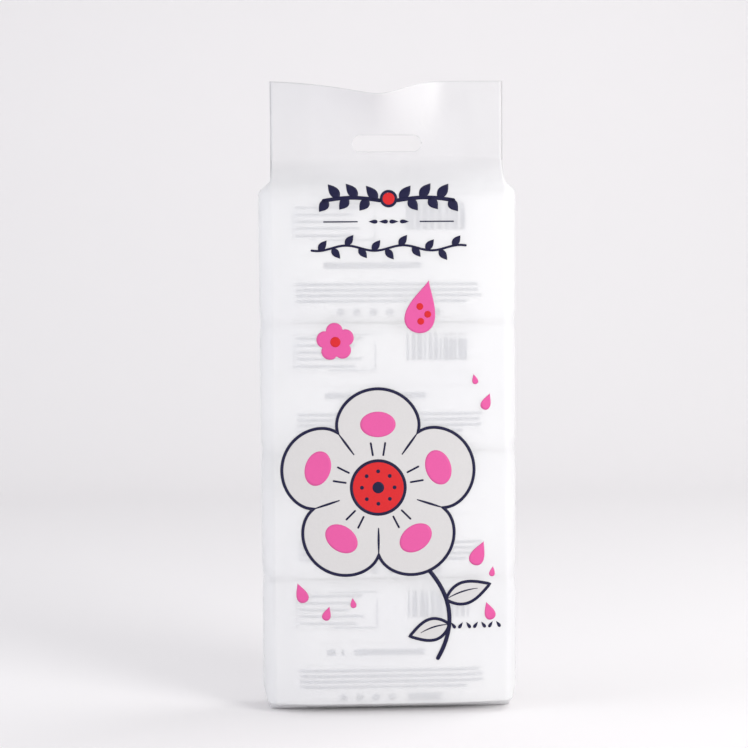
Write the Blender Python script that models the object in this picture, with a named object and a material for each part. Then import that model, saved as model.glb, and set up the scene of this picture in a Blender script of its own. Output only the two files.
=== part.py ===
"""Bundle of eight pocket packs of wet wipes in a gusseted film bag with a hanging slot.

Metres, +Z up. The origin is the middle of the base. The printed front of the bag faces -Y.
The bag is one tube of film: a front and a back panel joined by side gussets, which stand out round
the packs and fold in between the panels above them, where the bag narrows to a flat header.
The packs stand in two columns of four, one column behind the other, each pack with its glued back
fin towards the front of the bag and its peel-back label towards the back.
"""

import bmesh
import bpy
import numpy as np

# Bag
PANEL_HALF = 0.0675        # middle of the front panel to its side crease
BODY_HALF_DEPTH = 0.0215
SIDE_BULGE = 0.0073        # a gusset's middle fold stands this far past the crease
SIDE_ROUND = 0.0020        # each half of a filled gusset bows out this far from straight
GUSSET_HALF = 0.0226       # crease to middle fold, along the film
FILM = 0.0003
BOTTOM_EDGE = 0.0060       # the front's lower crease; below it the film slants in to the base
BOTTOM_LAYERS = 0.0033     # slack film and the folded fin under the packs
BOTTOM_FOLD_TUCK = 0.3     # how far a gusset's fold draws in below that crease, as a share of the panels
SHOULDER = 0.3018          # the panels start to lean in over the packs
GUSSET_FOLDED = 0.3193     # the gussets are folded in fully from here up
HEADER_BASE = 0.3253       # the panels lie flat together from here up
SEAL_BASE = 0.3628
BAG_TOP = 0.3668
HEADER_HALF = 0.0013       # half the header's thickness, gussets folded in
FOLD_EDGE = 0.0009         # width of the folded edge at a crease
GROOVE_HALF = 0.00015      # half the gap left at a gusset's middle fold

# The header leans forward to a rounded ridge: straight down to its left corner, in an S to its right
WAVE_BASE = 0.3188
WAVE_REACH = 0.0200
WAVE_ROUND = 0.15          # how rounded the ridge is, as a share of the left side's width
WAVE_DIP = 0.0040          # the shrunken seal draws the top edge down by this at the crest
WAVE_MIDDLE = -0.0060
WAVE_LEFT = 0.0620
WAVE_RIGHT = 0.0440
WAVE_POWER = 1.5           # the lean grows as height to this power; bend_header's height holds for 1.5 only

# Hanging slot
SLOT_LENGTH = 0.0400
SLOT_HEIGHT = 0.0090
SLOT_MIDDLE = 0.3308
SLOT_END_FLAT = 0.00002    # each round end keeps a sliver of straight, so that no edge has no length

# One pocket pack, lying along X
PACK_HALF_LENGTH = 0.0710
PACK_HALF_HEIGHT = 0.0370
PACK_HALF_DEPTH = 0.0097
PACK_CORNER = 0.0080
CRIMP_LENGTH = 0.0100
CRIMP_HALF_DEPTH = 0.0004
CRIMP_HALF_HEIGHT = 0.0355
CRIMP_CORNER = 0.00036
POUCH_END = 0.0150         # length of the rounded end between crimp and full depth
FIN_HALF_LENGTH = 0.0490
FIN_WIDTH = 0.0080
FIN_DEPTH = 0.0005
FIN_LOW = 0.0010           # the fin's lower edge above the middle of the pack

# Peel-back label on a pack's face
LABEL_HALF_WIDTH = 0.0310
LABEL_HALF_HEIGHT = 0.0180
LABEL_CORNER = 0.0080
LABEL_FILM = 0.00025
TAB_REACH = 0.0060
TAB_HALF_HEIGHT = 0.0070
TAB_CORNER = 0.0040

# Stacking
ROWS = 4
ROW_PITCH = 0.0746
LOWEST_PACK = 0.0037
FRONT_COLUMN_Y = -0.0107
BACK_COLUMN_Y = 0.01005
CLEARANCE = 0.0003

MILKY_FILM = (0.90, 0.90, 0.91, 1.0)
PACK_WHITE = (0.86, 0.87, 0.89, 1.0)
LABEL_WHITE = (0.93, 0.93, 0.94, 1.0)


def clear_scene():
    for obj in list(bpy.data.objects):
        bpy.data.objects.remove(obj, do_unlink=True)


def new_collection(name):
    collection = bpy.data.collections.new(name)
    bpy.context.scene.collection.children.link(collection)
    return collection


def plastic(name, colour, roughness):
    material = bpy.data.materials.new(name)
    material.use_nodes = True
    shader = material.node_tree.nodes["Principled BSDF"]
    shader.inputs["Base Color"].default_value = colour
    shader.inputs["Roughness"].default_value = roughness
    shader.inputs["Metallic"].default_value = 0.0
    return material


def smooth_step(low, high, value):
    t = np.clip((value - low) / (high - low), 0.0, 1.0)
    return t * t * (3 - 2 * t)


def loft(name, rings, bend=None):
    """A closed mesh: flat rings of points joined ring to ring, with a flat face at each end.

    A bend is applied once the ends are closed.
    """
    levels, around = len(rings), len(rings[0])
    sides = [
        (k * around + i, k * around + (i + 1) % around,
         (k + 1) * around + (i + 1) % around, (k + 1) * around + i)
        for k in range(levels - 1)
        for i in range(around)
    ]
    last = (levels - 1) * around
    ends = [tuple(range(around))[::-1], tuple(range(last, last + around))]
    mesh = bpy.data.meshes.new(name)
    mesh.from_pydata(np.concatenate(rings).tolist(), [], sides + ends)
    shell = bmesh.new()
    shell.from_mesh(mesh)
    bmesh.ops.triangulate(shell, faces=[face for face in shell.faces if len(face.verts) > 4])
    if bend:
        places = bend(np.array([vertex.co[:] for vertex in shell.verts]))
        for vertex, place_to in zip(shell.verts, places):
            vertex.co = place_to
    bmesh.ops.recalc_face_normals(shell, faces=shell.faces)
    shell.to_mesh(mesh)
    shell.free()
    return mesh


def rounded_ring(half_a, half_b, corner, steps=4):
    """Rounded rectangle as (a, b) points."""
    turn = np.linspace(0.0, np.pi / 2, steps + 1)
    arc_a = half_a - corner + corner * np.cos(turn)
    arc_b = half_b - corner + corner * np.sin(turn)
    upper = np.concatenate([
        np.column_stack([arc_a, arc_b]),
        np.column_stack([-arc_a[::-1], arc_b[::-1]]),
    ])
    lower = upper[::-1] * (1, -1)
    return np.concatenate([upper, lower])


def place(mesh, name, collection, material, location=(0, 0, 0)):
    obj = bpy.data.objects.new(name, mesh)
    obj.location = location
    if material and not mesh.materials:
        mesh.materials.append(material)
    collection.objects.link(obj)
    return obj


def cutter(mesh, name, collection):
    obj = place(mesh, name, collection, None)
    obj.hide_render = True
    obj.display_type = "WIRE"
    return obj


def add_boolean(obj, tool, operation):
    modifier = obj.modifiers.new(f"{operation.lower()}_{tool.name}", "BOOLEAN")
    modifier.operation = operation
    modifier.object = tool


def evaluated_mesh(obj, name):
    graph = bpy.context.evaluated_depsgraph_get()
    mesh = bpy.data.meshes.new_from_object(obj.evaluated_get(graph))
    mesh.name = name
    return mesh


def bag_sizes(z):
    """Half depth, crease, middle fold and bow of the gusset in the bag's section at height z."""
    lean_in = smooth_step(SHOULDER, HEADER_BASE, z)
    depth = BODY_HALF_DEPTH + (HEADER_HALF - BODY_HALF_DEPTH) * lean_in
    tuck = max(BOTTOM_EDGE - z, 0.0)
    folded_in = -np.sqrt(GUSSET_HALF**2 - min(depth, GUSSET_HALF) ** 2)
    inward = smooth_step(SHOULDER, GUSSET_FOLDED, z)
    fold = PANEL_HALF + SIDE_BULGE + (folded_in - SIDE_BULGE) * inward
    return depth - tuck, PANEL_HALF, fold - BOTTOM_FOLD_TUCK * tuck, SIDE_ROUND * (1 - inward)


def bag_section(z, panel_steps=8, gusset_steps=4):
    """The bag's outline at height z, as (x, y) points from the middle of the front, by way of +X."""
    depth, crease, fold, bow = bag_sizes(z)
    start = np.array([crease, FOLD_EDGE - depth])
    end = np.array([fold, -GROOVE_HALF])
    share = np.linspace(0.0, 1.0, gusset_steps + 1)[:, None]
    along = (end - start) / np.linalg.norm(end - start)
    outward = np.array([along[1], -along[0]])
    gusset = start + (end - start) * share + outward * bow * np.sin(np.pi * share)
    inner_fold = PANEL_HALF - GUSSET_HALF       # where the gusset's fold lies in the flat header
    panel_x = np.append(
        np.linspace(0.0, inner_fold, panel_steps + 1)[:-1],
        np.linspace(inner_fold, crease - FOLD_EDGE / 3, gusset_steps + 1),
    )
    panel = np.column_stack([panel_x, np.full_like(panel_x, -depth)])
    quarter = np.concatenate([panel, gusset])
    right = np.concatenate([quarter, quarter[::-1] * (1, -1)])
    left = right[-2:0:-1] * (-1, 1)
    return np.concatenate([right, left])


def inset(ring, distance):
    """The same ring moved inwards, with mitred corners."""
    edge = np.roll(ring, -1, axis=0) - ring
    normal = np.column_stack([-edge[:, 1], edge[:, 0]]) / np.linalg.norm(edge, axis=1)[:, None]
    before = np.roll(normal, 1, axis=0)
    mitre = (normal + before) / (1 + (normal * before).sum(axis=1))[:, None]
    return ring + distance * mitre


def bend_header(points):
    """Leans the header forward, keeping the film's length up the lean."""
    x, y, z = points.T
    left = np.clip((WAVE_MIDDLE - x) / WAVE_LEFT, 0, 1)
    right = np.clip((x - WAVE_MIDDLE) / WAVE_RIGHT, 0, 1)
    straight = (np.hypot(left, WAVE_ROUND) - WAVE_ROUND) / (np.hypot(1, WAVE_ROUND) - WAVE_ROUND)
    crest = (1 - straight) * np.cos(np.pi / 2 * right) ** 2
    length = BAG_TOP - WAVE_BASE
    up = np.clip((z - WAVE_BASE) / length, 0, 1)
    slope2 = np.maximum((WAVE_POWER * WAVE_REACH * crest / length) ** 2, 1e-9)
    height = length * 2 / (3 * slope2) * (1 - (1 - slope2 * up) ** 1.5)
    bent_z = np.where(z > WAVE_BASE, WAVE_BASE + height - WAVE_DIP * crest * up**2, z)
    return np.column_stack([x, y - WAVE_REACH * crest * up**WAVE_POWER, bent_z])


def bag_loft(name, heights, wall):
    """The bag's outer shape, or with a wall thickness the hollow inside it."""
    rings = []
    for z in heights:
        ring = bag_section(z)
        if wall:
            ring = inset(ring, wall)
        rings.append(np.column_stack([ring, np.full(len(ring), z)]))
    return loft(name, rings, bend_header)


def bag_heights(lowest):
    return np.concatenate([
        [lowest, BOTTOM_EDGE],
        np.linspace(SHOULDER, HEADER_BASE, 9),
        np.linspace(HEADER_BASE, SEAL_BASE, 6)[1:],
    ])


def slot_mesh(name):
    """A rod of the slot's shape, along Y, long enough to pass through the bent header."""
    ring = rounded_ring(SLOT_LENGTH / 2, SLOT_HEIGHT / 2, (SLOT_HEIGHT - SLOT_END_FLAT) / 2, steps=5)
    ends = [
        np.column_stack([ring[:, 0], np.full(len(ring), y), ring[:, 1] + SLOT_MIDDLE])
        for y in (-BODY_HALF_DEPTH, BODY_HALF_DEPTH)
    ]
    return loft(name, ends)


def make_bag(parts, cutters):
    film = plastic("milky_polyethylene_film", MILKY_FILM, 0.45)
    outer_heights = np.append(bag_heights(0.0), BAG_TOP)
    bag = place(bag_loft("outer_bag", outer_heights, 0.0), "outer_bag", parts, film)
    inside = cutter(bag_loft("bag_inside", bag_heights(BOTTOM_LAYERS), FILM), "bag_inside", cutters)
    slot = cutter(slot_mesh("hanging_slot"), "hanging_slot", cutters)
    add_boolean(bag, inside, "DIFFERENCE")
    add_boolean(bag, slot, "DIFFERENCE")
    return bag


def pouch_mesh(name):
    """A sealed pillow along X: flat crimped ends, rounded pouch ends and a full middle."""
    pouch_half = PACK_HALF_LENGTH - CRIMP_LENGTH
    turn = np.linspace(0.0, np.pi / 2, 5)
    end_x = pouch_half - POUCH_END + POUCH_END * np.cos(turn)
    full = np.sin(turn)
    stations = [(PACK_HALF_LENGTH, 0.0)] + list(zip(end_x, full))
    stations += [(-x, share) for x, share in reversed(stations)]
    rings = []
    for x, share in stations:
        depth = CRIMP_HALF_DEPTH + (PACK_HALF_DEPTH - CRIMP_HALF_DEPTH) * share
        height = CRIMP_HALF_HEIGHT + (PACK_HALF_HEIGHT - CRIMP_HALF_HEIGHT) * share
        corner = CRIMP_CORNER + (PACK_CORNER - CRIMP_CORNER) * share
        ring = rounded_ring(height, depth, corner)
        rings.append(np.column_stack([np.full(len(ring), x), ring[:, 1], ring[:, 0]]))
    return loft(name, rings)


def fin_mesh(name):
    """The glued back seam, folded down flat on the pack's back."""
    ring = rounded_ring(FIN_HALF_LENGTH, FIN_WIDTH / 2, FIN_DEPTH / 4, steps=1)
    middle = FIN_LOW + FIN_WIDTH / 2
    outer, inner = -PACK_HALF_DEPTH - FIN_DEPTH, -PACK_HALF_DEPTH + FIN_DEPTH
    return loft(name, [
        np.column_stack([ring[:, 0], np.full(len(ring), y), ring[:, 1] + middle])
        for y in (outer, inner)
    ])


def label_mesh(name, cutters):
    """A rounded label with a finger tab at one end, its face towards +Y."""
    def plate(plate_name, half_width, half_height, corner, shift):
        ring = rounded_ring(half_width, half_height, corner)
        return loft(plate_name, [
            np.column_stack([ring[:, 0] + shift, np.full(len(ring), y), ring[:, 1]])
            for y in (0.0, LABEL_FILM)
        ])

    body = cutter(plate("label_body", LABEL_HALF_WIDTH, LABEL_HALF_HEIGHT, LABEL_CORNER, 0.0),
                  "label_body", cutters)
    tab_half = LABEL_CORNER / 2 + TAB_REACH / 2
    tab_middle = LABEL_HALF_WIDTH + TAB_REACH - tab_half
    tab = cutter(plate("label_tab", tab_half, TAB_HALF_HEIGHT, TAB_CORNER, tab_middle),
                 "label_tab", cutters)
    add_boolean(body, tab, "UNION")
    return evaluated_mesh(body, name)


def pack_mesh(name, cutters):
    pouch = cutter(pouch_mesh("pouch"), "pouch", cutters)
    fin = cutter(fin_mesh("back_fin"), "back_fin", cutters)
    add_boolean(pouch, fin, "UNION")
    return evaluated_mesh(pouch, name)


def make_packs(parts, cutters):
    pack_film = plastic("white_laminate_film", PACK_WHITE, 0.4)
    label_film = plastic("label_polypropylene", LABEL_WHITE, 0.35)
    pack = pack_mesh("mini_pack", cutters)
    label = label_mesh("reseal_label", cutters)
    for column, y in (("front", FRONT_COLUMN_Y), ("back", BACK_COLUMN_Y)):
        for row in range(ROWS):
            z = LOWEST_PACK + PACK_HALF_HEIGHT + row * ROW_PITCH
            place(pack, f"mini_pack_{column}_{row + 1}", parts, pack_film, (0, y, z))
            place(label, f"reseal_label_{column}_{row + 1}", parts, label_film,
                  (0, y + PACK_HALF_DEPTH + CLEARANCE, z))


def main():
    clear_scene()
    parts = new_collection("wet_wipes_bundle")
    cutters = new_collection("cutters")
    make_bag(parts, cutters)
    make_packs(parts, cutters)


main()
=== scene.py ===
import math

import bpy
import numpy as np
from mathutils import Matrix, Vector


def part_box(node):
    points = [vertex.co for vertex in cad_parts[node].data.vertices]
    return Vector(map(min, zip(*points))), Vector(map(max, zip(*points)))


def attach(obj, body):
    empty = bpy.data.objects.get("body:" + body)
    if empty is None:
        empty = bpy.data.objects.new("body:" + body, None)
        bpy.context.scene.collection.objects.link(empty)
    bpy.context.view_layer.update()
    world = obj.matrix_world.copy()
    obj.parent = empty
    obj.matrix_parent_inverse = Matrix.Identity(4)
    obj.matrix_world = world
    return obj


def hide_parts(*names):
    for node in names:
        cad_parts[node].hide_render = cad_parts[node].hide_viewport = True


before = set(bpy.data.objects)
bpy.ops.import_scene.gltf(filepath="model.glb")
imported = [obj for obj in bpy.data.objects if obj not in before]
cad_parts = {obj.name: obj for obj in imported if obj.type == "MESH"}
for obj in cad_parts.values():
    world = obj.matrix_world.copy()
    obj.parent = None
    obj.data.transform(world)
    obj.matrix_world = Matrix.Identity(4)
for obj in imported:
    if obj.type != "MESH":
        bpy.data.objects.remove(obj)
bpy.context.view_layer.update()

print("stage: frame loaded")

mm = 0.001
rows = 4
packBoxes = {(side, row): np.array(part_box(f"mini_pack_{side}_{row + 1}"))
             for side in ("front", "back") for row in range(rows)}
bagHigh = np.array(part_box("outer_bag"))[1]


def toLinear(hexColour):  # an sRGB hex value as linear red, green, blue and 1
    channels = [int(hexColour[i:i + 2], 16) / 255 for i in (1, 3, 5)]
    return tuple(c / 12.92 if c <= 0.04045 else ((c + 0.055) / 1.055) ** 2.4 for c in channels) + (1.0,)


def addNode(tree, kind, settings=None, links=None):  # links: input name to the socket that feeds it
    node = tree.nodes.new(kind)
    for name, value in (settings or {}).items():
        if name in node.inputs:
            node.inputs[name].default_value = value
        else:
            setattr(node, name, value)
    for name, socket in (links or {}).items():
        tree.links.new(socket, node.inputs[name])
    return node


def startMaterial(name):
    material = bpy.data.materials.new(name)
    material.use_nodes = True
    tree = material.node_tree
    tree.nodes.clear()
    output = addNode(tree, "ShaderNodeOutputMaterial")
    return material, tree, output


def smoothStep(low, high, value):  # 0 below low, 1 above high, a smooth S between
    t = np.clip((value - low) / (high - low), 0.0, 1.0)
    return t * t * (3 - 2 * t)


def gridFaces(rowCount, columnCount, wrap=False):  # four corners of each cell of a grid of points
    r = np.arange(rowCount - 1)[:, None]
    c = np.arange(columnCount if wrap else columnCount - 1)[None, :]
    n = (c + 1) % columnCount
    corners = [r * columnCount + c, r * columnCount + n,
               (r + 1) * columnCount + n, (r + 1) * columnCount + c]
    return np.stack(corners, axis=-1).reshape(-1, 4)


def closeRing(start, around, fold, flip):
    # Closes an end ring flattened about its point fold: each point joins the one behind it
    faces = []
    for k in range(around // 2):
        face = [start + i % around for i in (fold - k, fold - k - 1, fold + k + 1, fold + k)]
        face = list(dict.fromkeys(face))
        faces.append(face[::-1] if flip else face)
    return faces


def makeMesh(name, points, faces):
    mesh = bpy.data.meshes.new(name)
    corners = [list(map(int, face)) for face in faces]
    mesh.from_pydata(np.asarray(points).reshape(-1, 3).tolist(), [], corners)
    mesh.shade_smooth()
    return mesh


def makePiece(name, mesh, material, thickness=0.0):
    piece = bpy.data.objects.new(name, mesh)
    bpy.context.scene.collection.objects.link(piece)
    if not mesh.materials:
        mesh.materials.append(material)
    if thickness:
        wall = piece.modifiers.new("wall", "SOLIDIFY")
        wall.thickness = thickness
        wall.offset = -1.0
    return piece


def applyModifiers(piece):
    graph = bpy.context.evaluated_depsgraph_get()
    mesh = bpy.data.meshes.new_from_object(piece.evaluated_get(graph))
    piece.modifiers.clear()
    piece.data = mesh


def softFolds(x, z, folds):
    # Height of a set of folds over a sheet. Each fold is a ridge on a straight line: it falls off
    # as exp(-distance / width) to the sides, with its crest rounded, and fades out at both ends.
    dx = x[..., None] - folds["x"]
    dz = z[..., None] - folds["z"]
    along = dx * np.cos(folds["turn"]) + dz * np.sin(folds["turn"])
    across = dz * np.cos(folds["turn"]) - dx * np.sin(folds["turn"])
    ridge = np.exp(-np.sqrt(across ** 2 + (0.35 * folds["width"]) ** 2) / folds["width"])
    fade = np.clip(1 - (along / folds["reach"]) ** 2, 0, 1) ** 2
    return (folds["height"] * ridge * fade).sum(axis=-1)


def foldSet(seed, count, x, z, turn, reach, width, height):
    # Folds for softFolds. Each pair is the range that a fold's value is drawn from.
    pick = np.random.default_rng(seed)
    values = {"x": x, "z": z, "turn": turn, "reach": reach, "width": width, "height": height}
    return {name: pick.uniform(low, high, count) for name, (low, high) in values.items()}


def joinFolds(*sets):
    return {name: np.concatenate([folds[name] for folds in sets]) for name in sets[0]}


view = {
    "distance": 0.95,
    "turn": -2.2,          # degrees the camera stands to the left of the front
    "height": 3.6,         # degrees above level
    "roll": 0.4,           # degrees
    "aim": (-0.0078, 0.0, 0.1967),
    "lens": 78.0,
}


def placeCamera():
    aim = np.array(view["aim"])
    turn, height = math.radians(view["turn"]), math.radians(view["height"])
    level = math.cos(height)
    away = np.array([math.sin(turn) * level, -math.cos(turn) * level, math.sin(height)])
    camera = bpy.data.objects.new("camera", bpy.data.cameras.new("camera"))
    bpy.context.scene.collection.objects.link(camera)
    camera.location = aim + away * view["distance"]
    camera.data.lens = view["lens"]
    camera.data.sensor_width = 36.0
    camera.data.clip_start = 0.01
    camera.rotation_euler = (math.pi / 2 - height, math.radians(view["roll"]), turn)
    bpy.context.scene.camera = camera


lights = {
    "key": {"place": (1.00, -0.95, 0.62), "size": 0.7, "power": 11.8, "colour": "#FFFEFC"},
    "fill": {"place": (-1.30, -0.25, 0.45), "size": 0.9, "power": 6.8, "colour": "#F8FAFF"},
    "top": {"place": (0.90, 0.30, 1.30), "size": 0.8, "power": 5.3, "colour": "#FFFFFF"},
}
room = {
    "air": "#F4F4F6", "airStrength": 0.67,
    "floor": "#F0EEEF", "halfWidth": 2.2, "front": -2.0, "back": 0.9, "bend": 0.5, "top": 2.4,
}


def placeLights():
    for name, values in lights.items():
        lamp = bpy.data.lights.new(name, "AREA")
        lamp.shape = "DISK"
        lamp.size = values["size"]
        lamp.energy = values["power"]
        lamp.color = toLinear(values["colour"])[:3]
        light = bpy.data.objects.new(name, lamp)
        bpy.context.scene.collection.objects.link(light)
        place = np.array(values["place"])
        toward = np.array([0.0, 0.0, 0.18]) - place
        light.location = place
        level = math.hypot(toward[0], toward[1])
        light.rotation_euler = (math.atan2(level, -toward[2]), 0.0, math.atan2(-toward[0], toward[1]))
    world = bpy.data.worlds.new("air")
    world.use_nodes = True
    background = world.node_tree.nodes["Background"]
    background.inputs["Color"].default_value = toLinear(room["air"])
    background.inputs["Strength"].default_value = room["airStrength"]
    bpy.context.scene.world = world
    bpy.context.scene.view_settings.view_transform = "Standard"


def paintedPaper():
    # Matt seamless paper: even, with no shine to draw the eye
    material, tree, output = startMaterial("seamlessPaper")
    shader = addNode(tree, "ShaderNodeBsdfPrincipled", {
        "Base Color": toLinear(room["floor"]), "Roughness": 0.9, "Specular IOR Level": 0.1})
    tree.links.new(shader.outputs["BSDF"], output.inputs["Surface"])
    return material


def placeFloor():
    # One sheet: flat floor, then a quarter circle, then a wall, carried straight along X
    turn = np.linspace(0, math.pi / 2, 25)
    wall = room["back"] + room["bend"]
    y = np.concatenate([[room["front"]], room["back"] + room["bend"] * np.sin(turn), [wall]])
    z = np.concatenate([[0.0], room["bend"] * (1 - np.cos(turn)), [room["top"]]])
    x = np.array([-room["halfWidth"], room["halfWidth"]])
    points = np.stack(np.broadcast_arrays(x[None, :], y[:, None], z[:, None]), axis=-1)
    faces = gridFaces(len(y), 2)
    floor = makePiece("floorSweep", makeMesh("floorSweep", points, faces), paintedPaper())


placeCamera()
placeLights()
placeFloor()
print("stage: camera, light and floor")


# Pocket packs: flow-wrapped pouches with crimped ends
pouch = {
    "crimp": 10 * mm,
    "crimpHalfDepth": 0.25 * mm,
    "halfDepth": 9.3 * mm,
    "endLength": 24 * mm,        # the pouch closes to its crimp over this length
    "cornerPower": 9.0,          # how boxy the section is
    "rib": 1.6 * mm,             # spacing of the crimp's pressed ribs
    "ribDepth": 0.16 * mm,
    "tooth": 2.4 * mm,           # spacing of the cut edge's teeth
    "toothDepth": 1.0 * mm,
    "ripple": 0.75 * mm,         # height of the folds that run in from each crimp
    "rippleWidth": 2.1 * mm,
    "rippleReach": 12 * mm,
    "swell": 0.22 * mm,          # soft unevenness of the faces
    "taper": 1.5 * mm,           # a crimp is lower than the full pouch by this at top and bottom
    "finRoom": 0.5 * mm,         # thickness that the CAD pack keeps for its fin
    "lengthSteps": 104,
    "roundSteps": 100,
}


def pouchSection(x, halfLength):
    # Share of full depth and height at x: a quarter of a superellipse closes the pouch to its flat crimp
    inner = halfLength - pouch["crimp"]
    gone = np.clip((np.abs(x) - (inner - pouch["endLength"])) / pouch["endLength"], 0, 1)
    return (1 - gone ** 2.2) ** 0.62


def pouchHeight(x, z, halfLength, halfHeight, seed):
    # How far the pouch's face stands off its middle plane at (x, z): a superellipse across Z whose
    # depth closes towards the crimps, with folds that run in from the crimps and soft unevenness.
    share = pouchSection(x, halfLength)
    across = np.clip(np.abs(z) / halfHeight, 0, 1)
    dome = np.clip(1 - across ** pouch["cornerPower"], 0, 1) ** 0.5
    depth = pouch["crimpHalfDepth"] + (pouch["halfDepth"] - pouch["crimpHalfDepth"]) * share * dome
    inner = halfLength - pouch["crimp"]
    fromCrimp = np.clip(inner - np.abs(x), 0, None)
    nearEnd = np.exp(-fromCrimp / pouch["rippleReach"]) * (np.abs(x) < inner) * (share > 0)
    phase = seed * 1.7 + np.sign(x) * 0.9
    ripple = np.sin(z / pouch["rippleWidth"] + phase + 2 * np.sin(z / (9 * mm) + phase)) * nearEnd
    waves = np.sin(x / (17 * mm) + phase) * np.sin(z / (15 * mm) + 2 * phase)
    body = waves * pouch["swell"] * share * dome
    return depth + (pouch["ripple"] * ripple * share + body) * dome - 0.25 * mm * share * dome


def pouchSeed(side, row):  # shifts the folds, so that no two packs are the same
    return row + (0.5 if side == "back" else 0.0)


def pouchFrame(side, row):
    # A pack's middle, half length, half height and the Y of its middle plane, leaving out the fin
    low, high = packBoxes[side, row]
    middle = (low + high) / 2
    planeY = high[1] - (high[1] - low[1] - pouch["finRoom"]) / 2
    return middle, (high[0] - low[0]) / 2, (high[2] - low[2]) / 2, planeY


def pouchPoints(side, row, seed):
    # Rings of points round the pouch, closer together at its ends. A ring runs round as sine and
    # cosine with a power that crowds its points at top and bottom; the crimps get ribs and teeth.
    middle, halfLength, halfHeight, planeY = pouchFrame(side, row)
    u = np.linspace(-1, 1, pouch["lengthSteps"])[:, None]
    x = halfLength * np.sign(u) * (0.35 * np.abs(u) + 0.65 * (1 - (1 - np.abs(u)) ** 1.8))
    turn = np.linspace(0, 2 * math.pi, pouch["roundSteps"], endpoint=False)[None, :] + 1e-4
    section = np.sign(np.sin(turn)) * np.abs(np.sin(turn)) ** 0.75
    crimped = 1 - pouchSection(x, halfLength)
    height = halfHeight - pouch["taper"] * crimped ** 1.5
    z = height * section
    stand = pouchHeight(x + 0 * z, z * halfHeight / height, halfLength, halfHeight, seed)
    inCrimp = smoothStep(halfLength - pouch["crimp"], halfLength - pouch["crimp"] + 1 * mm, np.abs(x))
    ribs = pouch["ribDepth"] * np.sin(2 * math.pi * z / pouch["rib"]) * inCrimp
    y = np.sign(np.cos(turn)) * stand + ribs
    atEdge = smoothStep(halfLength - 1.6 * mm, halfLength, np.abs(x))
    teeth = pouch["toothDepth"] * np.abs((z / pouch["tooth"]) % 1 * 2 - 1) * atEdge
    nearCrimp = smoothStep(halfLength - 16 * mm, halfLength, np.abs(x))
    wave = 0.8 * mm * np.sin(z / (13 * mm) + seed) * nearCrimp
    points = np.stack([x - np.sign(x) * teeth, y + wave + 0 * x, z + 0 * x], axis=-1)
    return points + np.array([middle[0], planeY, middle[2]])


def packMaterial():
    # Laminate film (polyester on polyethylene), printed and heat sealed: a white with a soft shine
    # and crinkles about 7 mm across from the flow wrapper
    material, tree, output = startMaterial("printedLaminateFilm")
    place = addNode(tree, "ShaderNodeTexCoord")
    crinkle = addNode(tree, "ShaderNodeTexNoise", {
        "Scale": 1 / (7 * mm), "Detail": 3.0, "Distortion": 0.6}, {"Vector": place.outputs["Object"]})
    # painted shade: the white is a little darker in the crinkles' hollows and lighter on their crests,
    # following the bump's noise
    tint = addNode(tree, "ShaderNodeMix", {
        "data_type": "RGBA", "A": toLinear("#F3F4F7"), "B": toLinear("#FBFBFC")},
        {"Factor": crinkle.outputs["Fac"]})
    bump = addNode(tree, "ShaderNodeBump", {"Strength": 0.25, "Distance": 0.3 * mm},
                   {"Height": crinkle.outputs["Fac"]})
    shader = addNode(tree, "ShaderNodeBsdfPrincipled", {"Roughness": 0.38},
                     {"Base Color": tint.outputs["Result"], "Normal": bump.outputs["Normal"]})
    tree.links.new(shader.outputs["BSDF"], output.inputs["Surface"])
    return material


def buildPacks():
    material = packMaterial()
    around = pouch["roundSteps"]
    faces = gridFaces(pouch["lengthSteps"], around, wrap=True).tolist()
    faces += closeRing(0, around, around // 4, flip=True)
    faces += closeRing((pouch["lengthSteps"] - 1) * around, around, around // 4, flip=False)
    for (side, row) in packBoxes:
        mesh = makeMesh(f"pouch_{side}_{row + 1}", pouchPoints(side, row, pouchSeed(side, row)), faces)
        piece = makePiece(f"pouch_{side}_{row + 1}", mesh, material)
        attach(piece, "root")
        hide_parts(f"mini_pack_{side}_{row + 1}")


buildPacks()
print("stage: packs")

# Outer bag: one tube of milky film with side gussets, a bottom fin and a flat header
film = {
    "wall": 0.05 * mm,
    "sideBulge": 7.3 * mm,       # how far a filled gusset stands past the creases
    "gussetHalf": 22.6 * mm,     # crease to the gusset's middle fold
    "crown": 3.6 * mm,           # the front stands this much higher in its middle than at its creases
    "bottomEdge": 6.0 * mm,      # the front's lower crease; below it the film slants in to the base
    "undercut": 2.6,             # how far that film runs in for each unit of its height
    "shoulder": 301.3 * mm,
    "headerBase": 323.8 * mm,
    "layerGap": 0.12 * mm,       # half the space between the header's outer layers
    "flapHeight": 0.62 * mm,     # the bottom flaps above the floor
    "finHeight": 0.26 * mm,
    "finLength": 9.0 * mm,
    "bow": 1.9 * mm,             # each half of a filled gusset bows out this far from straight
    "waist": 0.7 * mm,           # the gussets draw in this far between two rows
    "slack": 0.35 * mm,          # the panels lie this far inside the CAD's, so that folds have room
    "crimpBump": 0.5 * mm,       # the packs' crimped ends press out into the gussets
    "crimpAt": 10.4 * mm, "crimpWidth": 3.2 * mm,
    "cornerTaper": 5 * mm,       # the filled gussets narrow by this towards the bottom corners
    "valley": 0.2 * mm,          # how far the film dips between two rows of packs
    "waveBase": 318.8 * mm, "waveReach": 20.0 * mm, "waveMiddle": -6.0 * mm, "waveRound": 0.10,
    "waveLeft": 62.0 * mm, "waveRight": 42.0 * mm, "wavePower": 1.5, "waveDip": 4.0 * mm,
    "panelSteps": 86, "gussetSteps": 13,
}
slot = {"length": 40 * mm, "height": 9 * mm, "middle": 330.8 * mm}

panelHalf = bagHigh[0] - film["sideBulge"]
bodyDepth = bagHigh[1] - 0.2 * mm
bagTop = bagHigh[2]
rowEdges = np.array([(packBoxes["front", row][1][2] + packBoxes["front", row + 1][0][2]) / 2
                     for row in range(rows - 1)])    # heights between two packs

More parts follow.
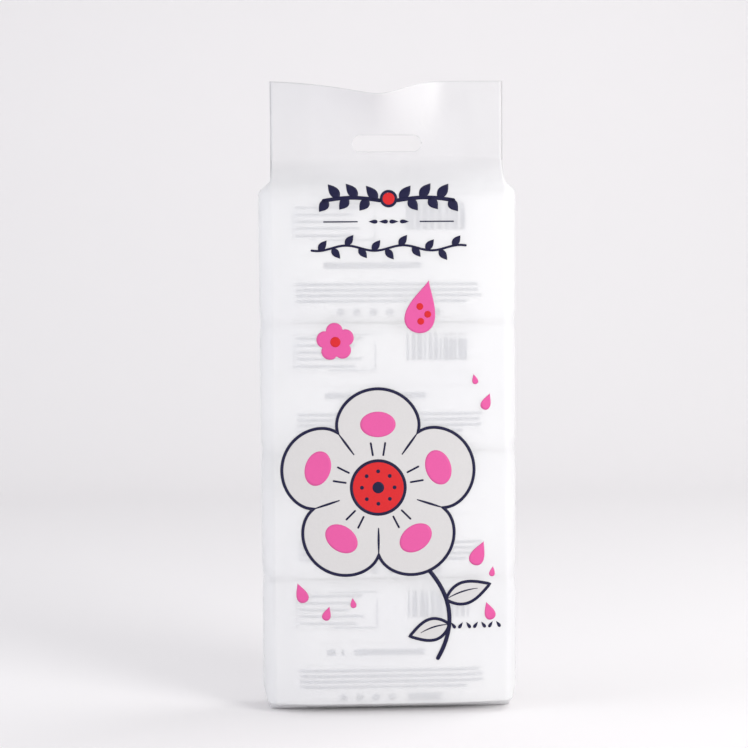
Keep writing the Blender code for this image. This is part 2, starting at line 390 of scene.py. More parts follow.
# long shallow pulls across the header
headerPulls = foldSet(12, 9, (-55 * mm, 60 * mm), (333 * mm, 355 * mm), (0.5, 2.6), (12 * mm, 26 * mm),
                      (2.0 * mm, 5.0 * mm), (-0.45 * mm, 0.45 * mm))
frontFolds = joinFolds(
    # upright pleats where the film gathers from the body into the header
    foldSet(11, 16, (-60 * mm, 62 * mm), (306 * mm, 317 * mm), (1.25, 1.9), (9 * mm, 17 * mm),
            (1.4 * mm, 3.2 * mm), (-0.5 * mm, 0.55 * mm)),
    headerPulls,
    # slack between the rows of packs, near both creases
    foldSet(13, 14, (44 * mm, 66 * mm), (50 * mm, 290 * mm), (-0.55, 0.25), (8 * mm, 20 * mm),
            (2.0 * mm, 3.4 * mm), (-0.25 * mm, 0.5 * mm)),
    foldSet(14, 12, (-66 * mm, -46 * mm), (40 * mm, 290 * mm), (-0.25, 0.55), (8 * mm, 20 * mm),
            (2.0 * mm, 3.4 * mm), (-0.25 * mm, 0.5 * mm)),
    # long upright waves of the body film
    foldSet(15, 9, (-52 * mm, 56 * mm), (60 * mm, 260 * mm), (1.42, 1.72), (40 * mm, 90 * mm),
            (5.0 * mm, 9.0 * mm), (-0.30 * mm, 0.35 * mm)),
    # short slanting pulls at the bottom edge
    foldSet(16, 9, (-60 * mm, 60 * mm), (5 * mm, 16 * mm), (0.9, 2.2), (6 * mm, 14 * mm),
            (1.2 * mm, 2.4 * mm), (-0.35 * mm, 0.3 * mm)),
)
backFolds = joinFolds(
    foldSet(21, 16, (-60 * mm, 62 * mm), (306 * mm, 317 * mm), (1.25, 1.9), (9 * mm, 17 * mm),
            (1.4 * mm, 3.2 * mm), (-0.5 * mm, 0.55 * mm)),
    foldSet(23, 26, (-66 * mm, 66 * mm), (30 * mm, 290 * mm), (-0.5, 0.5), (10 * mm, 30 * mm),
            (1.4 * mm, 3.2 * mm), (-0.5 * mm, 0.5 * mm)),
    foldSet(25, 9, (-52 * mm, 56 * mm), (60 * mm, 260 * mm), (1.42, 1.72), (40 * mm, 90 * mm),
            (5.0 * mm, 9.0 * mm), (-0.5 * mm, 0.4 * mm)),
)


def filmHeights():
    # Where the rings of points lie: close together where the film turns, further apart on its long flats
    slant = np.linspace(0.35 * mm, film["bottomEdge"] - 0.4 * mm, 6)
    body = np.concatenate([[film["bottomEdge"], film["bottomEdge"] + 0.5 * mm],
                           np.linspace(film["bottomEdge"] + 2 * mm, film["shoulder"], 122)])
    gable = np.linspace(film["shoulder"], film["headerBase"], 17)[1:]
    header = np.linspace(film["headerBase"], bagTop, 30)[1:]
    return np.concatenate([slant, body, gable, header])


def ringSizes(z):
    # Half depth, crease, gusset fold and outward bow of each ring, as columns
    leanIn = smoothStep(film["shoulder"] - 2 * mm, film["headerBase"], z)
    depth = bodyDepth + (film["layerGap"] - bodyDepth) * leanIn
    tuck = film["undercut"] * np.clip(film["bottomEdge"] - z, 0, None)
    atCorner = 1 - smoothStep(-4 * mm, 15 * mm, z)
    foldedIn = -np.sqrt(film["gussetHalf"] ** 2 - np.minimum(depth, film["gussetHalf"]) ** 2)
    inward = smoothStep(film["shoulder"], film["headerBase"] - 5 * mm, z)
    fold = panelHalf + film["sideBulge"] + (foldedIn - film["sideBulge"]) * inward
    valley = rowValley(z, 5 * mm)
    fold = fold - film["waist"] * valley * (1 - inward)
    bow = (film["bow"] - 0.4 * mm * valley) * (1 - inward)
    return depth - tuck, panelHalf - 0.05 * tuck, fold - film["cornerTaper"] * atCorner, bow


def rowValley(z, width):  # 1 between two rows of packs, 0 over their middles
    return np.exp(-((z[..., None] - rowEdges) / width) ** 2).sum(axis=-1)


def panelStand(x, z, depth, folds):
    # Half depth of the front or back film: crowned across, dipping between rows, with its folds
    filled = np.clip(depth / bodyDepth, 0, 1)
    across = np.clip(np.abs(x) / panelHalf, 0, 1)
    crown = film["crown"] * across ** 3.4 * filled
    dip = film["valley"] * rowValley(z, 8 * mm) * (0.45 + 0.9 * across ** 2) * filled
    calm = np.clip(filled * 4, 0, 1) * (1 - across ** 10)
    return np.maximum(depth - crown - dip + softFolds(x, z, folds) * calm - film["slack"] * filled, 0.0)


def gussetPath(crease, creaseDepth, fold, bow, steps):
    # From the front crease to the back crease by way of the middle fold, both ends left out:
    # two straight halves bowed outwards by a sine
    share = np.linspace(0, 2, 2 * steps + 1)[1:-1][None, :]
    half = np.minimum(share, 2 - share)
    side = np.where(share <= 1, -1.0, 1.0)
    runX, runY = fold - crease, creaseDepth
    length = np.hypot(runX, runY) + 1e-9
    lift = bow * np.sin(math.pi * half) ** 0.8
    x = crease + runX * half + runY / length * lift
    y = side * (creaseDepth * (1 - half) + runX / length * lift)
    return x, y


def bendHeader(points):
    # The header leans forward to a rounded ridge: straight (a hyperbola) to its left corner, a cosine
    # squared to its right. The lean grows as height to a power, the film's length up the lean is
    # kept, and the shrunken top seal draws its edge down a little.
    x, y, z = np.moveaxis(points, -1, 0)
    left = np.clip((film["waveMiddle"] - x) / film["waveLeft"], 0, 1)
    right = np.clip((x - film["waveMiddle"]) / film["waveRight"], 0, 1)
    soft = film["waveRound"]
    straight = (np.hypot(left, soft) - soft) / (math.hypot(1, soft) - soft)
    crest = (1 - straight) * np.cos(math.pi / 2 * right) ** 2
    length = bagTop - film["waveBase"]
    up = np.clip((z - film["waveBase"]) / length, 0, 1)
    steep = np.maximum((film["wavePower"] * film["waveReach"] * crest / length) ** 2, 1e-9)
    rise = length * 2 / (3 * steep) * (1 - (1 - steep * up) ** 1.5)
    bentZ = np.where(z > film["waveBase"], film["waveBase"] + rise - film["waveDip"] * crest * up ** 2, z)
    lean = film["waveReach"] * crest * up ** film["wavePower"]
    ripple = softFolds(x, z, headerPulls) * np.clip(up * 3, 0, 1)
    return np.stack([x, y - lean - ripple, bentZ], axis=-1)


def bagRings():
    # The whole tube as rings of points: front panel, right gusset, back panel, left gusset
    z = filmHeights()[:, None]
    depth, crease, fold, bow = ringSizes(z[:, 0])
    depth, crease, fold, bow = (v[:, None] for v in (depth, crease, fold, bow))
    share = np.linspace(-1, 1, film["panelSteps"])[None, :]
    x = share * crease
    front = -panelStand(x, z + 0 * x, depth, frontFolds)
    back = panelStand(x, z + 0 * x, depth, backFolds)
    edgeDepth = -front[:, -1:]
    gussetX, gussetY = gussetPath(crease, edgeDepth, fold, bow, film["gussetSteps"])
    crimps = np.exp(-((np.abs(gussetY) - film["crimpAt"]) / film["crimpWidth"]) ** 2) * film["crimpBump"]
    held = (1 - rowValley(z[:, 0], 6 * mm))[:, None] * (z < film["shoulder"]) * (z > 4 * mm)
    gussetX = gussetX + crimps * held
    ringX = np.concatenate([x, gussetX, x[:, ::-1], -gussetX[:, ::-1]], axis=1)
    ringY = np.concatenate([front, gussetY, back[:, ::-1], gussetY[:, ::-1]], axis=1)
    points = np.stack([ringX, ringY, z + 0 * ringX], axis=-1)
    return bendHeader(points)


def bottomRings(lowest):
    # Under the packs the front and back flaps run in to the middle over the tucked gussets, then
    # turn down into a sealed fin that lies flat towards the back. lowest is the tube's first ring.
    panel = film["panelSteps"]
    depth0 = np.abs(lowest[0, 1])
    shares = np.linspace(1, 0, 9)[1:]
    rings = []
    for share in shares:
        depth = 0.25 * mm + (depth0 - 0.25 * mm) * share
        crease = lowest[panel - 1, 0] * share + panelHalf * (1 - share)
        inward = smoothStep(0.0, 0.35, 1 - share)
        folded = crease - math.sqrt(max(film["gussetHalf"] ** 2 - depth ** 2, 0)) * 0.55
        fold = (lowest[panel + film["gussetSteps"] - 1, 0]) * (1 - inward) + folded * inward
        x = np.linspace(-crease, crease, panel)
        gx, gy = gussetPath(crease, depth, fold, 0.0, film["gussetSteps"])
        gx, gy = gx[0], gy[0]
        ringX = np.concatenate([x, gx, x[::-1], -gx[::-1]])
        ringY = np.concatenate([0 * x - depth, gy, 0 * x + depth, gy[::-1]])
        tucked = np.concatenate([0 * x, 0 * gx + 0.12 * mm * inward, 0 * x, 0 * gx + 0.12 * mm * inward])
        rings.append(np.stack([ringX, ringY, film["flapHeight"] + tucked], axis=-1))
    last = rings[-1]
    for run in np.linspace(0, 1, 7)[1:]:
        z = film["finHeight"] + 0.8 * last[:, 1]
        rings.append(np.stack([last[:, 0], 0.25 * mm + run * film["finLength"] + 0 * z, z], axis=-1))
    return np.stack(rings[::-1])


def milkyFilm():
    # Blown low-density polyethylene, filled milky and matt: half see-through, with soft wide
    # highlights, a faint haze of uneven thickness, and rumples from 13 mm down to a millimetre across.
    # Above the packs, in the flat header, it is made closer and lets less light through, and its colour is
    # greyed there as painted shade.
    material, tree, output = startMaterial("blownPolyethyleneFilm")
    place = addNode(tree, "ShaderNodeTexCoord")
    rumple = addNode(tree, "ShaderNodeTexNoise", {
        "Scale": 1 / (13 * mm), "Detail": 4.0, "Roughness": 0.55, "Distortion": 0.8},
        {"Vector": place.outputs["Object"]})
    haze = addNode(tree, "ShaderNodeTexNoise", {"Scale": 1 / (45 * mm), "Detail": 2.0},
                   {"Vector": place.outputs["Object"]})
    tint = addNode(tree, "ShaderNodeMix", {
        "data_type": "RGBA", "A": toLinear("#F8F8FA"), "B": toLinear("#FDFDFD")},
        {"Factor": haze.outputs["Fac"]})
    level = addNode(tree, "ShaderNodeSeparateXYZ", {}, {"Vector": place.outputs["Object"]})
    overPacks = addNode(tree, "ShaderNodeMapRange", {
        "interpolation_type": "SMOOTHSTEP", "From Min": film["shoulder"], "From Max": film["headerBase"]},
        {"Value": level.outputs["Z"]})
    # painted shade: from the shoulder up the film's colour is greyed towards #F1F0F2, darkening the header
    shade = addNode(tree, "ShaderNodeMix", {"data_type": "RGBA", "B": toLinear("#F1F0F2")},
                    {"Factor": overPacks.outputs["Result"], "A": tint.outputs["Result"]})
    bump = addNode(tree, "ShaderNodeBump", {"Strength": 0.35, "Distance": 0.5 * mm},
                   {"Height": rumple.outputs["Fac"]})
    milk = addNode(tree, "ShaderNodeMapRange", {"To Min": 0.47, "To Max": 0.74},
                   {"Value": overPacks.outputs["Result"]})
    through = addNode(tree, "ShaderNodeMapRange", {"To Min": 0.14, "To Max": 0.05},
                      {"Value": overPacks.outputs["Result"]})
    skin = addNode(tree, "ShaderNodeBsdfPrincipled", {"Roughness": 0.42, "IOR": 1.50},
                   {"Base Color": shade.outputs["Result"], "Normal": bump.outputs["Normal"],
                    "Alpha": milk.outputs["Result"]})
    glow = addNode(tree, "ShaderNodeBsdfTranslucent", {}, {"Color": shade.outputs["Result"]})
    both = addNode(tree, "ShaderNodeMixShader", {}, {"Fac": through.outputs["Result"]})
    tree.links.new(skin.outputs["BSDF"], both.inputs[1])
    tree.links.new(glow.outputs["BSDF"], both.inputs[2])
    tree.links.new(both.outputs["Shader"], output.inputs["Surface"])
    return material


def slotCutter():
    # A rod along Y with the slot's outline: two half circles joined by straight runs
    radius = slot["height"] / 2
    turn = np.linspace(-math.pi / 2, math.pi / 2, 13)
    endX = slot["length"] / 2 - radius + radius * np.cos(turn)
    endZ = radius * np.sin(turn)
    x = np.concatenate([endX, -endX[::-1]])
    z = np.concatenate([endZ, endZ[::-1]]) + slot["middle"]
    y = np.array([-bodyDepth, bodyDepth])
    points = np.stack(np.broadcast_arrays(x[None, :], y[:, None], z[None, :]), axis=-1)
    count = len(x)
    ends = [list(range(count))[::-1], list(range(count, 2 * count))]
    faces = list(gridFaces(2, count, wrap=True)) + ends
    mesh = makeMesh("slotCutter", points, [face[::-1] for face in faces])
    return bpy.data.objects.new("slotCutter", mesh)


def buildBag():
    tube = bagRings()
    rings = np.concatenate([bottomRings(tube[0]), tube])
    count, around = rings.shape[:2]
    faces = list(gridFaces(count, around, wrap=True))
    fold = film["panelSteps"] + film["gussetSteps"] - 1
    faces += closeRing(0, around, fold, flip=False)
    faces += closeRing((count - 1) * around, around, fold, flip=True)
    piece = makePiece("outerBag", makeMesh("outerBag", rings, faces), milkyFilm(), thickness=film["wall"])
    cutter = slotCutter()
    bpy.context.scene.collection.objects.link(cutter)
    punch = piece.modifiers.new("slot", "BOOLEAN")
    punch.operation = "DIFFERENCE"
    punch.object = cutter
    applyModifiers(piece)
    bpy.data.objects.remove(cutter)
    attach(piece, "root")
    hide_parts("outer_bag")
    return tube


bagTube = buildBag()
print("stage: bag")

# Printing on the bag's front: ink patches and lines that lie on the film
ink = {
    "grey": {"colour": "#CDCBCB", "lift": 0.05 * mm},
    "pink": {"colour": "#D9579A", "lift": 0.08 * mm},
    "red": {"colour": "#CE2227", "lift": 0.10 * mm},
    "navy": {"colour": "#121138", "lift": 0.12 * mm},
    "wall": 0.012 * mm,
    "rise": 5.5 * mm,            # the whole artwork sits this much higher than it is drawn
    "step": 1.3 * mm,            # spacing of points along a line
    "outline": 1.75 * mm,        # width of the drawing's outlines
}
inkShapes = {name: [] for name in ("grey", "pink", "red", "navy")}


def onFront(x, z, lift):
    # The point of the front film above (x, z) of the flat panel, read between the film's own grid
    # points and moved out along the film's normal
    panel = bagTube[:, :film["panelSteps"]]
    down, across = np.gradient(panel, axis=0), np.gradient(panel, axis=1)
    normal = np.cross(across, down)
    normal /= np.linalg.norm(normal, axis=-1, keepdims=True)
    column = np.clip((x / panelHalf + 1) / 2 * (film["panelSteps"] - 1), 0, film["panelSteps"] - 1.001)
    row = np.clip(np.interp(z, filmHeights(), np.arange(len(panel))), 0, len(panel) - 1.001)
    c, r = column.astype(int), row.astype(int)
    fc, fr = (column - c)[..., None], (row - r)[..., None]

    def between(grid):
        low = grid[r, c] * (1 - fc) + grid[r, c + 1] * fc
        high = grid[r + 1, c] * (1 - fc) + grid[r + 1, c + 1] * fc
        return low * (1 - fr) + high * fr

    return between(panel) + between(normal) * lift


def fill(colour, outline):
    # A patch inside a closed outline that its middle can see: rings of the outline shrunk to its middle
    outline = np.asarray(outline)
    x, z = outline.T
    if (x * np.roll(z, -1) - z * np.roll(x, -1)).sum() < 0:      # anticlockwise, so that it faces out
        outline = outline[::-1]
    middle = outline.mean(axis=0)
    size = np.linalg.norm(outline - middle, axis=1).max()
    ringCount = max(3, int(size / (1.5 * mm)))
    share = np.linspace(1 / ringCount, 1, ringCount)[:, None, None]
    rings = middle + (outline - middle)[None] * share
    count = len(outline)
    points = np.concatenate([[middle], rings.reshape(-1, 2)])
    fan = [[0, 1 + i, 1 + (i + 1) % count] for i in range(count)]
    cells = gridFaces(ringCount, count, wrap=True)[:, ::-1] + 1
    inkShapes[colour].append((points, fan + cells.tolist()))


def line(colour, path, width, closed=False, taper=0.0):
    # A ribbon along a path, three points across, with round ends on an open path
    path = np.asarray(path)
    if closed:
        run = np.roll(path, -1, axis=0) - np.roll(path, 1, axis=0)
    else:
        run = np.gradient(path, axis=0)
    run /= np.linalg.norm(run, axis=1)[:, None] + 1e-12
    side = np.column_stack([-run[:, 1], run[:, 0]])
    place = np.linspace(0, 1, len(path))
    half = width / 2 * (1 - taper * (1 - np.sin(math.pi * place)))
    share = np.linspace(-1, 1, 3)[:, None, None]
    points = path[None] + side[None] * half[None, :, None] * share
    points = points.transpose(1, 0, 2).reshape(-1, 2)
    if closed:
        points = np.concatenate([points, points[:3]])
    faces = gridFaces(len(points) // 3, 3)
    if closed:
        faces = np.where(faces >= 3 * len(path), faces - 3 * len(path), faces)
        points = points[:3 * len(path)]
    inkShapes[colour].append((points, faces[:, ::-1].tolist()))
    if not closed:
        for end in (0, -1):
            if half[end] > 0.3 * mm:
                fill(colour, disc(path[end], half[end], 14))


def disc(middle, radius, count=28, stretch=1.0, turn=0.0):
    angle = np.linspace(0, 2 * math.pi, count, endpoint=False)
    points = np.column_stack([radius * np.cos(angle), radius * stretch * np.sin(angle)])
    return np.asarray(middle) + points @ turned(turn)


def turned(angle):  # matrix that turns row vectors anticlockwise
    return np.array([[math.cos(angle), math.sin(angle)], [-math.sin(angle), math.cos(angle)]])


def drop(middle, length, turn, fat=0.62, count=40):
    # Drop outline: a circle pulled to a soft point, x = sin(t) * sin(t / 2) ** 1.6, y = cos(t)
    t = np.linspace(0, 2 * math.pi, count, endpoint=False)
    across = np.sin(t) * np.sin(t / 2) ** 1.5 * fat
    points = np.column_stack([across, np.cos(t)]) * length / 2
    return np.asarray(middle) + points @ turned(turn)


def leaf(start, length, width, turn, count=26):
    # Leaf outline from its stalk: two sides, each a sine of the way along, fuller near the stalk
    t = np.linspace(0, 1, count)
    half = width / 2 * np.sin(math.pi * t ** 0.8)
    upper, lower = np.column_stack([t * length, half]), np.column_stack([t * length, -half])
    points = np.concatenate([upper, lower[-2:0:-1]])
    return np.asarray(start) + points @ turned(turn)


def lobed(middle, radius, lobes, depth, count, turn=0.0):
    # Round-lobed outline: radius falls by depth in a rounded notch between two lobes
    angle = np.linspace(0, 2 * math.pi, count, endpoint=False)
    wave = np.abs(np.cos((angle - turn) * lobes / 2)) ** 0.62
    r = radius * (1 - depth + depth * wave)
    return np.asarray(middle) + np.column_stack([r * np.cos(angle), r * np.sin(angle)])


def pathLength(*corners):  # points along straight runs between the corners, a step apart
    corners = np.asarray(corners, float)
    runs = np.concatenate([[0], np.cumsum(np.linalg.norm(np.diff(corners, axis=0), axis=1))])
    at = np.linspace(0, runs[-1], max(3, int(runs[-1] / ink["step"])))
    return np.column_stack([np.interp(at, runs, corners[:, 0]), np.interp(at, runs, corners[:, 1])])


def curve(start, end, bulge):
    # A bowed line from start to end: its middle stands off by bulge, as a parabola
    start, end = np.asarray(start, float), np.asarray(end, float)
    length = np.linalg.norm(end - start)
    t = np.linspace(0, 1, max(5, int(length / ink["step"])))[:, None]
    side = np.array([-(end - start)[1], (end - start)[0]]) / length
    return start + (end - start) * t + side * bulge * 4 * t * (1 - t)


blossom = {
    "middle": (-7 * mm, 127 * mm), "radius": 57 * mm, "lobes": 5, "notch": 0.33, "turn": math.pi / 2,
    "centre": 15.5 * mm, "blush": 12.5 * mm, "blushAt": 0.64,
    "stemFoot": (27 * mm, 27 * mm), "stemBow": 9 * mm,
}


def drawBlossom():
    # One wide flower head with round petals, a blush on each, a ringed middle, a stem and leaves
    middle = np.array(blossom["middle"])
    petals = lobed(middle, blossom["radius"], blossom["lobes"], blossom["notch"], 300, blossom["turn"])
    stemTop = middle + blossom["radius"] * np.array([math.cos(-1.03), math.sin(-1.03)])
    stem = curve(stemTop, blossom["stemFoot"], blossom["stemBow"])
    line("navy", stem, 2.4 * mm)
    for share, length, side in ((0.35, 27 * mm, 1), (0.62, 24 * mm, -1)):
        foot = stem[int(share * len(stem))]
        turn = math.radians(18 if side > 0 else 196)
        shape = leaf(foot, length, 12.5 * mm, turn)
        fill("grey", shape)
        line("navy", shape, ink["outline"], closed=True)
        tip = foot + np.array([math.cos(turn), math.sin(turn)]) * length * 0.72
        line("navy", curve(foot, tip, side * 1.2 * mm), 0.9 * mm, taper=0.7)
    fill("grey", petals)
    line("navy", petals, ink["outline"], closed=True)
    for i in range(blossom["lobes"]):
        turn = blossom["turn"] + (i + 0.5) * 2 * math.pi / blossom["lobes"] + math.pi / blossom["lobes"]
        out = np.array([math.cos(turn), math.sin(turn)])
        blushMiddle = middle + out * blossom["radius"] * blossom["blushAt"]
        fill("pink", disc(blushMiddle, blossom["blush"] * 0.82, 36, stretch=0.72, turn=turn + math.pi / 2))
        for lean in (-0.16, 0.16):
            way = np.array([math.cos(turn + lean), math.sin(turn + lean)])
            line("navy", pathLength(middle + way * 19 * mm, middle + way * 26 * mm), 1.1 * mm)
    for i in range(blossom["lobes"]):
        turn = blossom["turn"] + (i + 0.5) * 2 * math.pi / blossom["lobes"]
        notch = np.array([math.cos(turn), math.sin(turn)])
        inner = blossom["radius"] * (1 - blossom["notch"])
        line("navy", pathLength(middle + notch * inner, middle + notch * inner * 0.62), 1.3 * mm, taper=0.5)
    fill("red", disc(middle, blossom["centre"], 44))
    line("navy", disc(middle, blossom["centre"], 64), ink["outline"], closed=True)
    for i in range(8):
        turn = i * math.pi / 4
        fill("navy", disc(middle + 9.4 * mm * np.array([math.cos(turn), math.sin(turn)]), 1.15 * mm, 14))
    fill("navy", disc(middle, 3.4 * mm, 20))


def drawGarland():
    # At the top edge: heavy leaves either side of a red berry, on one bowed twig
    base = 291.5 * mm
    for side in (-1, 1):
        twig = np.column_stack([side * np.linspace(5, 37, 26) * mm,
                                base + 1.6 * mm * np.sin(np.linspace(0, math.pi, 26))])
        line("navy", twig, 2.2 * mm)
        for i, at in enumerate(np.linspace(0.06, 0.92, 6)):
            foot = twig[int(at * 25)]
            up = 1 if i % 2 == 0 else -1
            turn = math.radians(52 * up) if side > 0 else math.pi - math.radians(52 * up)
            fill("navy", leaf(foot, (10.5 if up > 0 else 8.5) * mm, 5.6 * mm, turn))
    fill("red", disc((0, base + 1 * mm), 4.2 * mm, 30))
    line("navy", disc((0, base + 1 * mm), 4.2 * mm, 40), 1.6 * mm, closed=True)
    # thin rules with four beads between them
    level = 279.5 * mm
    for side in (-1, 1):
        line("navy", pathLength((side * 18 * mm, level), (side * 37 * mm, level)), 0.7 * mm)
    for at in (-9, -3, 3, 9):
        fill("navy", drop((at * mm, level), 5.2 * mm, math.pi / 2 if at < 0 else -math.pi / 2))


def drawTrail():
    # A light wavy trail of little leaves under the garland
    x = np.linspace(-44, 44, 70) * mm
    z = 264.5 * mm + 1.5 * mm * np.sin(x / (5.2 * mm))
    trail = np.column_stack([x, z])
    line("navy", trail, 1.3 * mm)
    for i, index in enumerate(range(3, 68, 6)):
        up = 1 if i % 2 == 0 else -1
        fill("navy", leaf(trail[index], 7.6 * mm, 4.2 * mm, math.radians(52 * up)))


def drawScatter():
    # Pink drops and small blossoms around the big flower
    fill("pink", drop((19 * mm, 231 * mm), 31 * mm, math.radians(-14), fat=0.8))
    for x, z in ((17.5, 231), (22, 226.5), (18, 222.5)):
        fill("red", disc((x * mm, z * mm), 2.0 * mm, 18))
    fill("pink", lobed((-31 * mm, 211 * mm), 11 * mm, 5, 0.3, 100, 0.4))
    fill("red", disc((-31 * mm, 211 * mm), 3.0 * mm, 22))
    for x, z, length, turn in ((-52, 66, 12, 20), (-37, 54, 8.5, -18), (-22, 60, 6, 8), (56, 176, 10, -22),
                               (49, 189, 6, 14), (51, 88, 15, -24), (57, 54, 11, 18), (59, 77, 6, -8)):
        fill("pink", drop((x * mm, z * mm), length * mm, math.radians(turn), fat=0.82))
    # a short row of navy seeds at the lower right
    for i in range(7):
        fill("navy", drop(((36 + 4.4 * i) * mm, 46 * mm), 4.4 * mm, math.radians(-35 if i % 2 else 35)))


def printingInk(name):
    # Flexographic ink on polyethylene: flat opaque colour, satin, a touch duller than the film. Its
    # speckle is drawn 1.1 mm across, coarser than it is, so that it shows.
    material, tree, output = startMaterial(f"{name}FlexoInk")
    place = addNode(tree, "ShaderNodeTexCoord")
    speckle = addNode(tree, "ShaderNodeTexNoise", {"Scale": 1 / (1.1 * mm), "Detail": 2.0},
                      {"Vector": place.outputs["Object"]})
    colour = toLinear(ink[name]["colour"])
    lighter = tuple(min(c * 1.06 + 0.004, 1.0) for c in colour[:3]) + (1.0,)
    tint = addNode(tree, "ShaderNodeMix", {"data_type": "RGBA", "A": colour, "B": lighter},
                   {"Factor": speckle.outputs["Fac"]})
    shader = addNode(tree, "ShaderNodeBsdfPrincipled", {"Roughness": 0.5, "Specular IOR Level": 0.25},
                     {"Base Color": tint.outputs["Result"]})
    tree.links.new(shader.outputs["BSDF"], output.inputs["Surface"])
    return material


def buildInk():
    drawBlossom()
    drawGarland()
    drawTrail()
    drawScatter()
    for name, shapes in inkShapes.items():
        points, faces, start = [], [], 0
        for shapePoints, shapeFaces in shapes:
            points.append(shapePoints)
            faces += [[start + i for i in face] for face in shapeFaces]
            start += len(shapePoints)
        flat = np.concatenate(points)
        placed = onFront(flat[:, 0], flat[:, 1] + ink["rise"], ink[name]["lift"])
        piece = makePiece(f"print_{name}", makeMesh(f"print_{name}", placed, faces), printingInk(name),
                          thickness=ink["wall"])
        applyModifiers(piece)
        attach(piece, "root")


buildInk()
print("stage: printing")

# What is on each pack: its back fin, bars that stand for small type, and the peel-back label
packTrim = {
    "finLow": 1.0 * mm, "finHigh": 9.0 * mm, "finReach": 59 * mm, "finWall": 0.12 * mm,
    # the rim is a painted blur: a paler band round each mark, standing in for light scattered by the outer
    # film
    "printColour": "#7E8497", "rimColour": "#C2C6D1", "printLift": 0.10 * mm, "rimLift": 0.07 * mm,
    "rimSpread": 0.7 * mm,
    "labelHalf": (31 * mm, 18 * mm), "labelCorner": 8 * mm, "tabCorner": 4 * mm, "labelWall": 0.07 * mm,
    "tabReach": 6 * mm, "tabHalf": 7 * mm,
}


def onPouch(side, row, x, z, lift, face):
    # The point of a pouch's face (-1 towards the front, 1 towards the back) above (x, z) of its middle
    middle, halfLength, halfHeight, planeY = pouchFrame(side, row)
    stand = pouchHeight(x, z, halfLength, halfHeight, pouchSeed(side, row))
    return np.stack([middle[0] + x, planeY + face * (stand + lift), middle[2] + z], axis=-1)


def finMesh(side, row):
    # A strip along the pouch, glued along its lower edge, its free upper edge a little lifted
    x = np.linspace(-1, 1, 90)[None, :] * packTrim["finReach"]
    across = np.linspace(0, 1, 7)[:, None]
    z = packTrim["finLow"] + (packTrim["finHigh"] - packTrim["finLow"]) * across + 0 * x
    free = 0.10 * mm + 0.10 * mm * across ** 2 * (1 + 0.5 * np.sin(x / (7 * mm) + row))
    return onPouch(side, row, x + 0 * z, z, free, -1), gridFaces(7, 90)


def wordRow(pick, left, right, level, height):
    # A row of bars that stands for a line of small type: bar lengths and gaps are drawn at random
    bars, at = [], left
    while at < right - 2 * mm:
        length = min(pick.uniform(2.0, 7.5) * mm, right - at)
        bars.append((at, at + length, level, height))
        at += length + pick.uniform(0.7, 1.1) * mm
    return bars


def printedBars(seed):
    # (left, right, middle height, height) of each bar on a pack's back, from the middle of the pack
    pick = np.random.default_rng(seed)
    bars = []
    for i, level in enumerate((28.6, 24.6, 20.6, 16.8, 12.6)):                   # panel with ruled lines
        bars += wordRow(pick, -53 * mm, (-16 - 4 * (i % 3)) * mm, level * mm, 1.1 * mm)
    for level in (30.8, 10.2):                                                   # its frame
        bars.append((-55 * mm, -8 * mm, level * mm, 0.35 * mm))
    for at in (-55, -8.35):
        bars.append((at * mm, (at + 0.35) * mm, 20.5 * mm, 20.6 * mm))
    at = 10.0
    while at < 45:                                                               # upright stripes
        width = pick.choice([0.7, 1.1, 1.8, 2.5])
        bars.append((at * mm, (at + width) * mm, 23.5 * mm, 15 * mm))
        at += width + pick.choice([0.9, 1.4, 1.9])
    at = -37.0
    while at < 19:                                                               # stamped row
        width = pick.uniform(1.2, 2.2)
        if pick.uniform() > 0.16:
            bars.append((at * mm, (at + width) * mm, -4.4 * mm, 3.0 * mm))
        at += width + 0.8
    for i, level in enumerate((-15.2, -18.4, -21.6, -24.8)):                      # block of small type
        bars += wordRow(pick, -53 * mm, (53 - 9 * (i == 3)) * mm, level * mm, 1.25 * mm)
    bars.append((10 * mm, 29 * mm, -31.2 * mm, 4.2 * mm))                         # pill
    for at in (-28, -18.5, -9, 0.5):                                              # round marks
        bars += [(at * mm - w * mm, at * mm + w * mm, (-31.2 + s) * mm, 0.8 * mm)
                 for w, s in ((1.0, 1.6), (1.8, 0.8), (2.1, 0.0), (1.8, -0.8), (1.0, -1.6))]
    return np.array(bars)


def packPrintMesh(side, row, spread, lift):
    # Each bar is a small grid of cells laid on the pouch, spread wider than its ink by spread
    bars = printedBars(40 + row + 10 * (side == "back"))
    bars = bars + np.array([-spread / 2, spread / 2, 0, spread])
    share = np.linspace(0, 1, 5)
    x = bars[:, 0, None, None] + (bars[:, 1] - bars[:, 0])[:, None, None] * share[None, None, :]
    z = bars[:, 2, None, None] + bars[:, 3, None, None] * (share - 0.5)[None, :, None]
    x, z = np.broadcast_arrays(x, z)
    points = onPouch(side, row, x, z, lift, -1)
    cells = gridFaces(5, 5)
    faces = (cells[None] + 25 * np.arange(len(bars))[:, None, None]).reshape(-1, 4)
    return points, faces


def labelOutline(count=10):
    # Rounded rectangle whose right end carries a short rounded tab
    halfX, halfZ = packTrim["labelHalf"]
    corner, reach, tab = packTrim["labelCorner"], packTrim["tabReach"], packTrim["tabHalf"]
    turn = np.linspace(0, math.pi / 2, count)
    arc = np.column_stack([np.cos(turn), np.sin(turn)])
    tabCorner = packTrim["tabCorner"]
    tabArc = np.array([halfX + reach - tabCorner, tab - tabCorner]) + tabCorner * arc
    bodyArc = np.array([halfX - corner, halfZ - corner]) + corner * arc
    right = np.concatenate([tabArc, bodyArc])
    left = bodyArc[::-1] * (-1, 1)
    upper = np.concatenate([right, left])
    return np.concatenate([upper, upper[::-1] * (1, -1)])


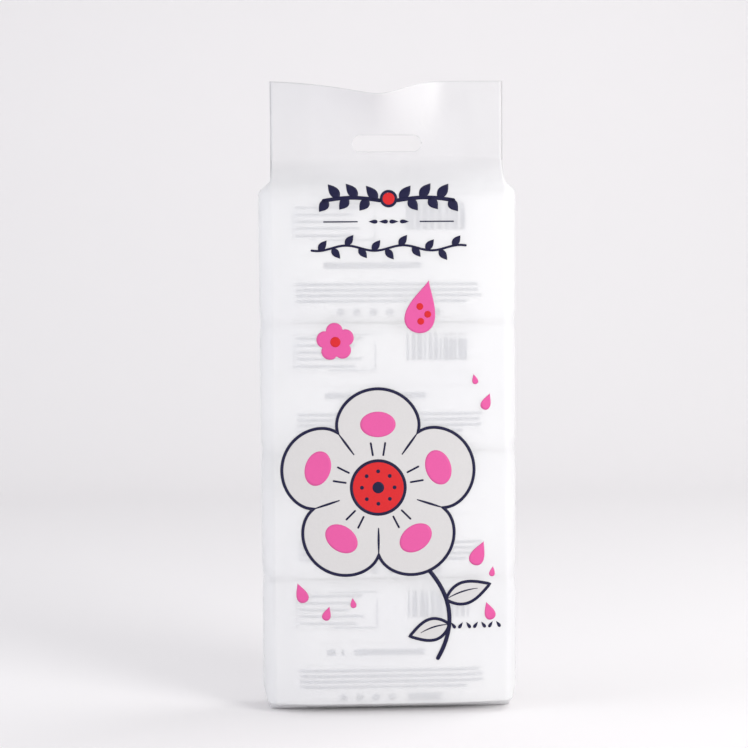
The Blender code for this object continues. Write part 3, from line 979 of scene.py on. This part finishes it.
def labelMesh(side, row):
    # Rings of the outline shrunk to its middle, laid on the pouch's back face
    outline = labelOutline()
    share = np.linspace(1 / 14, 1, 14)[:, None, None]
    rings = outline[None] * share
    flat = np.concatenate([[[0, 0]], rings.reshape(-1, 2)])
    points = onPouch(side, row, flat[:, 0], flat[:, 1], 0.12 * mm, 1)
    count = len(outline)
    fan = [[0, 1 + (i + 1) % count, 1 + i] for i in range(count)]
    return points, fan + (gridFaces(14, count, wrap=True) + 1).tolist()


def plainFilmPrint(name, colour, roughness):
    # Gravure ink under a laminate's clear face, a painted blur round each mark, or a label's own film: an
    # even colour clouded over 4 mm, with the shine of the film
    material, tree, output = startMaterial(name)
    place = addNode(tree, "ShaderNodeTexCoord")
    cloud = addNode(tree, "ShaderNodeTexNoise", {"Scale": 1 / (4 * mm), "Detail": 2.0},
                    {"Vector": place.outputs["Object"]})
    base = toLinear(colour)
    lighter = tuple(min(c * 1.12 + 0.01, 1.0) for c in base[:3]) + (1.0,)
    tint = addNode(tree, "ShaderNodeMix", {"data_type": "RGBA", "A": base, "B": lighter},
                   {"Factor": cloud.outputs["Fac"]})
    shader = addNode(tree, "ShaderNodeBsdfPrincipled", {"Roughness": roughness},
                     {"Base Color": tint.outputs["Result"]})
    tree.links.new(shader.outputs["BSDF"], output.inputs["Surface"])
    return material


def buildPackTrim():
    finFilm = packMaterial()
    printing = plainFilmPrint("gravureInk", packTrim["printColour"], 0.4)
    # painted blur: a paler band spread round each mark stands in for light scattered in the milky outer film
    rim = plainFilmPrint("paintedPrintBlur", packTrim["rimColour"], 0.4)     # the milky film softens each mark
    label = plainFilmPrint("dieCutPolypropylene", "#F7F8FA", 0.28)
    for (side, row) in packBoxes:
        place = f"{side}_{row + 1}"
        points, faces = finMesh(side, row)
        fin = makePiece(f"fin_{place}", makeMesh(f"fin_{place}", points, faces), finFilm, packTrim["finWall"])
        points, faces = packPrintMesh(side, row, 0.0, packTrim["printLift"])
        marks = makePiece(f"pack_print_{place}", makeMesh(f"pack_print_{place}", points, faces), printing,
                          ink["wall"])
        points, faces = packPrintMesh(side, row, packTrim["rimSpread"], packTrim["rimLift"])
        rims = makePiece(f"pack_print_painted_blur_{place}", makeMesh(f"pack_print_painted_blur_{place}", points, faces), rim,
                         ink["wall"])
        points, faces = labelMesh(side, row)
        sticker = makePiece(f"label_{place}", makeMesh(f"label_{place}", points, faces), label,
                            packTrim["labelWall"])
        for piece in (fin, marks, rims, sticker):
            applyModifiers(piece)
            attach(piece, "root")
        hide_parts(f"reseal_label_{place}")


buildPackTrim()
print("stage: fins, pack printing and labels")
